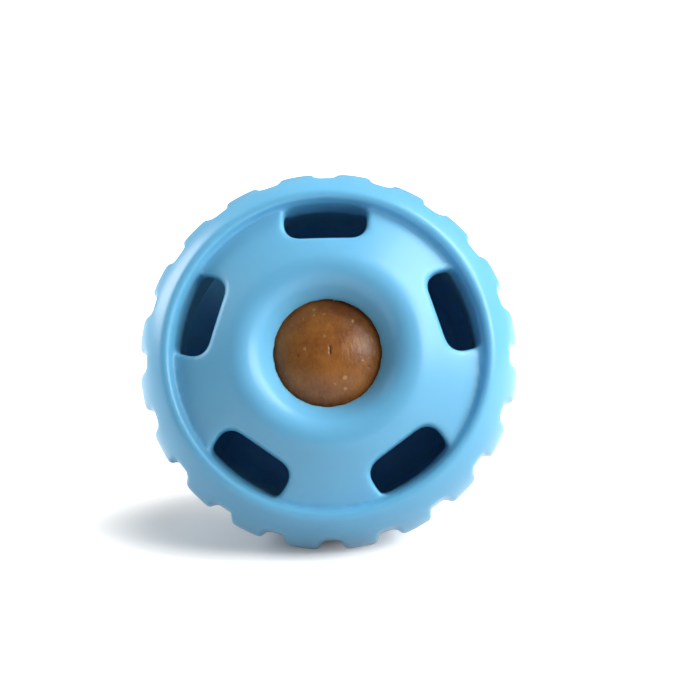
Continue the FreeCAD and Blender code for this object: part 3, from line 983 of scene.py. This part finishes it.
class TOY_OT_rear_shell(bpy.types.Operator):
    """Build the cup behind the seam, with its threaded mouth, cradle ribs and flat base"""

    bl_idname = "dogtoy.rear_shell"
    bl_label = "Rear Shell"

    def execute(self, context):
        toy = context.scene.dog_toy
        front, threads, rear = toy.front, toy.threads, toy.rear
        rubber = shared_rubber(toy.finish)
        # The mouth's ridges lie half a pitch below the neck's and stop short of the seam
        half_pitch = threads.lead / threads.starts / 2
        ridge = ridge_tool(
            "bore_ridge_tool",
            threads,
            bore_radius(threads) + threads.root,
            neck_radius(threads) + threads.clearance,
            neck_ridge_start(threads) - half_pitch,
            -(rear.seam_gap + threads.margin + half_ridge(threads) + threads.draft),
        )
        rib = rib_tool(front, threads, rear, toy.treat)
        shell = spun(
            "rear_shell_form", rear_outline(front, threads, rear, toy.treat), closed=False
        )
        join = ring_tree("UNION")
        between_slots = math.pi / 2 + math.pi / front.slot_count
        attach(
            shell, join, tool=rib, count=front.slot_count, first_angle=between_slots, material=rubber
        )
        attach(shell, join, tool=ridge, count=threads.starts, first_angle=0.0, material=rubber)
        remesh = shell.modifiers.new("even_mesh", "REMESH")
        remesh.mode = "VOXEL"
        # The cup is plainer than the front, so its mesh is a tenth coarser
        remesh.voxel_size = toy.finish.voxel * 1.1
        attach(
            shell,
            soften_tree(),
            passes=5,
            soft_within=0.0,
            crisp_beyond=rear.skirt_radius,
            crisp_weight=1.0,
            material=rubber,
        )
        piece = settle(shell, "rear_shell_rubber")
        discard(rib, ridge)
        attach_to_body(piece, "rear_shell")
        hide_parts("rear_shell")
        return {"FINISHED"}


class TOY_OT_treat(bpy.types.Operator):
    """Build the baked treat ball"""

    bl_idname = "dogtoy.treat"
    bl_label = "Treat Ball"

    def execute(self, context):
        toy = context.scene.dog_toy
        treat = toy.treat
        depth = ball_depth(toy.front, treat)
        mesh = bpy.data.meshes.new("treat_form")
        form = bmesh.new()
        # Edges of about 0.4 mm, so that the pits and the crack are real hollows
        bmesh.ops.create_icosphere(form, subdivisions=7, radius=treat.radius)
        form.to_mesh(mesh)
        form.free()
        mesh.transform(Matrix.Translation((0, 0, -depth)))
        piece = mesh_object("treat_form", mesh)
        # In the photograph the crack lies 3 pixels right of and 1.5 above the treat's middle
        across, along = 0.75 * MM, 0.4 * MM
        front_of_ball = math.sqrt(treat.radius**2 - across**2 - along**2)
        attach(
            piece,
            skin_tree(),
            lump_size=treat.lump_size,
            lump_depth=treat.lump_depth,
            pit_spacing=treat.pit_spacing,
            pit_radius=treat.pit_radius,
            pit_depth=treat.pit_depth,
            crack_length=treat.crack_length,
            crack_width=treat.crack_width,
            crack_place=(across, along, front_of_ball - depth),
            material=baked_dough(toy.finish),
        )
        piece = settle(piece, "treat_dough")
        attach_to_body(piece, "treat_ball")
        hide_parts("treat_ball")
        return {"FINISHED"}


# Each lamp: degrees off the line of sight, degrees round from the right, and width in metres
LAMPS = {
    "key": (64, 24, 0.5),
    "top": (82, 50, 0.5),
    "spot": (44, 28, 0.16),
    "side": (104, 150, 0.5),
}


def lamp(name, direction, distance, size, power, target):
    """A square soft lamp that shines on the toy from a direction."""
    data = bpy.data.lights.new(name, "AREA")
    data.size = size
    data.energy = power
    piece = bpy.data.objects.new(name, data)
    piece.location = target + direction.normalized() * distance
    piece.rotation_mode = "QUATERNION"
    piece.rotation_quaternion = (-direction).to_track_quat("-Z", "Y")
    bpy.context.scene.collection.objects.link(piece)


def paper_sweep(settings):
    """White seamless paper with a painted glow further out, so that only the shadow near the toy
    tells.
    """
    material, tree = empty_material("white_paper_sweep")
    # What the paper gives back to the toy, and what the camera and the toy's gloss see of it
    dull = add(tree, "ShaderNodeBsdfDiffuse", {"Color": (*settings.paper_return, 1.0)})
    paper = add(tree, "ShaderNodeBsdfDiffuse", {"Color": (*settings.paper, 1.0)})
    place = add(tree, "ShaderNodeTexCoord").outputs["Object"]
    # A painted glow whitens the paper except in a patch to the left, where the short shadow is left
    # to show
    shadow_patch, dark_within, lit_beyond = (-20 * MM, 8 * MM, 0), 22 * MM, 62 * MM
    away = add(tree, "ShaderNodeVectorMath", {0: place, 1: shadow_patch}, operation="DISTANCE")
    lit = add(
        tree,
        "ShaderNodeMapRange",
        {"Value": away.outputs["Value"], "From Min": dark_within, "From Max": lit_beyond},
        interpolation_type="SMOOTHSTEP",
    )
    painted_glow = add(tree, "ShaderNodeEmission", {"Strength": lit.outputs[0]})
    both = add(tree, "ShaderNodeAddShader", {0: paper.outputs[0], 1: painted_glow.outputs[0]})
    seen = add(tree, "ShaderNodeLightPath").outputs
    either = add(
        tree,
        "ShaderNodeMath",
        {0: seen["Is Camera Ray"], 1: seen["Is Glossy Ray"]},
        operation="MAXIMUM",
    )
    direct = add(
        tree,
        "ShaderNodeMath",
        {0: either.outputs[0], 1: seen["Is Transmission Ray"]},
        operation="MAXIMUM",
    )
    mix = add(
        tree,
        "ShaderNodeMixShader",
        {0: direct.outputs[0], 1: dull.outputs[0], 2: both.outputs[0]},
    )
    output = add(tree, "ShaderNodeOutputMaterial", {"Surface": mix.outputs[0]})
    output.is_active_output = True
    return material


def photo_camera(settings, tip_radius, rim, turn):
    """A camera that sees the rim in the photograph's place and size."""
    # In the photograph the rim is 377 pixels across and centred at (328.7, 361.7)
    image, sensor = 700, 36.0
    rim_pixels, rim_x, rim_y = 377, 328.7, 361.7
    scale = 2 * tip_radius / rim_pixels
    aside = Vector((image / 2 - rim_x, 0, rim_y - image / 2)) * scale
    data = bpy.data.cameras.new("camera")
    data.sensor_width = sensor
    data.lens = settings.distance / (image * scale) * sensor
    camera = bpy.data.objects.new("camera", data)
    camera.location = rim + turn @ (aside + Vector((0, -settings.distance, 0)))
    camera.rotation_mode = "QUATERNION"
    camera.rotation_quaternion = turn @ Quaternion((1, 0, 0), math.pi / 2)
    bpy.context.scene.collection.objects.link(camera)
    return camera


def white_room(settings, back):
    """White to the eye. Its light is pale behind the toy and darker on the camera's side."""
    world = bpy.data.worlds.new("white_room")
    world.use_nodes = True
    tree = world.node_tree
    tree.nodes.clear()
    seen = add(tree, "ShaderNodeLightPath").outputs
    way = add(tree, "ShaderNodeTexCoord").outputs["Generated"]
    facing = add(tree, "ShaderNodeVectorMath", {0: way, 1: back}, operation="DOT_PRODUCT")
    level = add(
        tree,
        "ShaderNodeMapRange",
        {
            "Value": facing.outputs["Value"],
            "From Min": -0.4,
            "From Max": 0.2,
            "To Min": settings.room_light,
            "To Max": settings.front_light,
        },
        interpolation_type="SMOOTHSTEP",
    )
    room = add(
        tree, "ShaderNodeBackground", {"Color": (1, 1, 1, 1), "Strength": level.outputs[0]}
    )
    white = add(tree, "ShaderNodeBackground", {"Color": (1, 1, 1, 1), "Strength": 1.0})
    mix = add(
        tree,
        "ShaderNodeMixShader",
        {0: seen["Is Camera Ray"], 1: room.outputs[0], 2: white.outputs[0]},
    )
    add(tree, "ShaderNodeOutputWorld", {"Surface": mix.outputs[0]})
    return world


def white_floor(settings):
    """The sheet of paper on which the toy stands."""
    mesh = bpy.data.meshes.new("floor")
    form = bmesh.new()
    bmesh.ops.create_grid(form, x_segments=1, y_segments=1, size=4.0)
    form.to_mesh(mesh)
    form.free()
    floor = mesh_object("floor", mesh)
    floor.data.materials.append(paper_sweep(settings))


class TOY_OT_stage(bpy.types.Operator):
    """Set up the white floor, the soft lamps and the camera"""

    bl_idname = "dogtoy.stage"
    bl_label = "Stage"

    def execute(self, context):
        scene = context.scene
        front, settings = scene.dog_toy.front, scene.dog_toy.stage
        rim = TOY_TO_ROW @ Vector((0, 0, front.tread_width / 2))
        turn = Quaternion((0, 0, 1), settings.azimuth)
        turn @= Quaternion((1, 0, 0), settings.tilt - LEAN)
        turn @= Quaternion((0, 1, 0), settings.roll)
        back, right, up = (turn @ Vector(way) for way in ((0, -1, 0), (1, 0, 0), (0, 0, 1)))
        scene.camera = photo_camera(settings, front.tip_radius, rim, turn)
        for name, (off, round_from_right, size) in LAMPS.items():
            off, round_from_right = math.radians(off), math.radians(round_from_right)
            across = right * math.cos(round_from_right) + up * math.sin(round_from_right)
            direction = back * math.cos(off) + across * math.sin(off)
            power = getattr(settings, f"{name}_power")
            lamp(f"{name}_softbox", direction, settings.lamp_distance, size, power, rim)
        scene.world = white_room(settings, back)
        white_floor(settings)
        scene.view_settings.view_transform = "Standard"
        return {"FINISHED"}


class DogToy(bpy.types.PropertyGroup):
    """All settings of the toy."""

    front: bpy.props.PointerProperty(type=FrontSizes)
    threads: bpy.props.PointerProperty(type=ThreadSizes)
    rear: bpy.props.PointerProperty(type=RearSizes)
    treat: bpy.props.PointerProperty(type=TreatSizes)
    finish: bpy.props.PointerProperty(type=Finish)
    stage: bpy.props.PointerProperty(type=StageSettings)


OPERATORS = (TOY_OT_front_shell, TOY_OT_rear_shell, TOY_OT_treat, TOY_OT_stage)


class TOY_PT_panel(bpy.types.Panel):
    """Lists what can be built"""

    bl_idname = "TOY_PT_panel"
    bl_label = "Dog Toy"
    bl_space_type = "VIEW_3D"
    bl_region_type = "UI"
    bl_category = "Dog Toy"

    def draw(self, context):
        for operator in OPERATORS:
            self.layout.operator(operator.bl_idname)
        toy = context.scene.dog_toy
        for name in ("front", "threads", "rear", "treat", "finish", "stage"):
            group = getattr(toy, name)
            box = self.layout.box()
            box.label(text=name.capitalize())
            for key in group.__annotations__:
                box.prop(group, key)


CLASSES = (
    FrontSizes,
    ThreadSizes,
    RearSizes,
    TreatSizes,
    Finish,
    StageSettings,
    DogToy,
    *OPERATORS,
    TOY_PT_panel,
)


def register():
    for item in CLASSES:
        bpy.utils.register_class(item)
    bpy.types.Scene.dog_toy = bpy.props.PointerProperty(type=DogToy)


def unregister():
    del bpy.types.Scene.dog_toy
    for item in reversed(CLASSES):
        bpy.utils.unregister_class(item)


def main():
    register()
    bpy.ops.dogtoy.front_shell()
    bpy.ops.dogtoy.rear_shell()
    bpy.ops.dogtoy.treat()
    bpy.ops.dogtoy.stage()


if __name__ == "__main__":
    main()
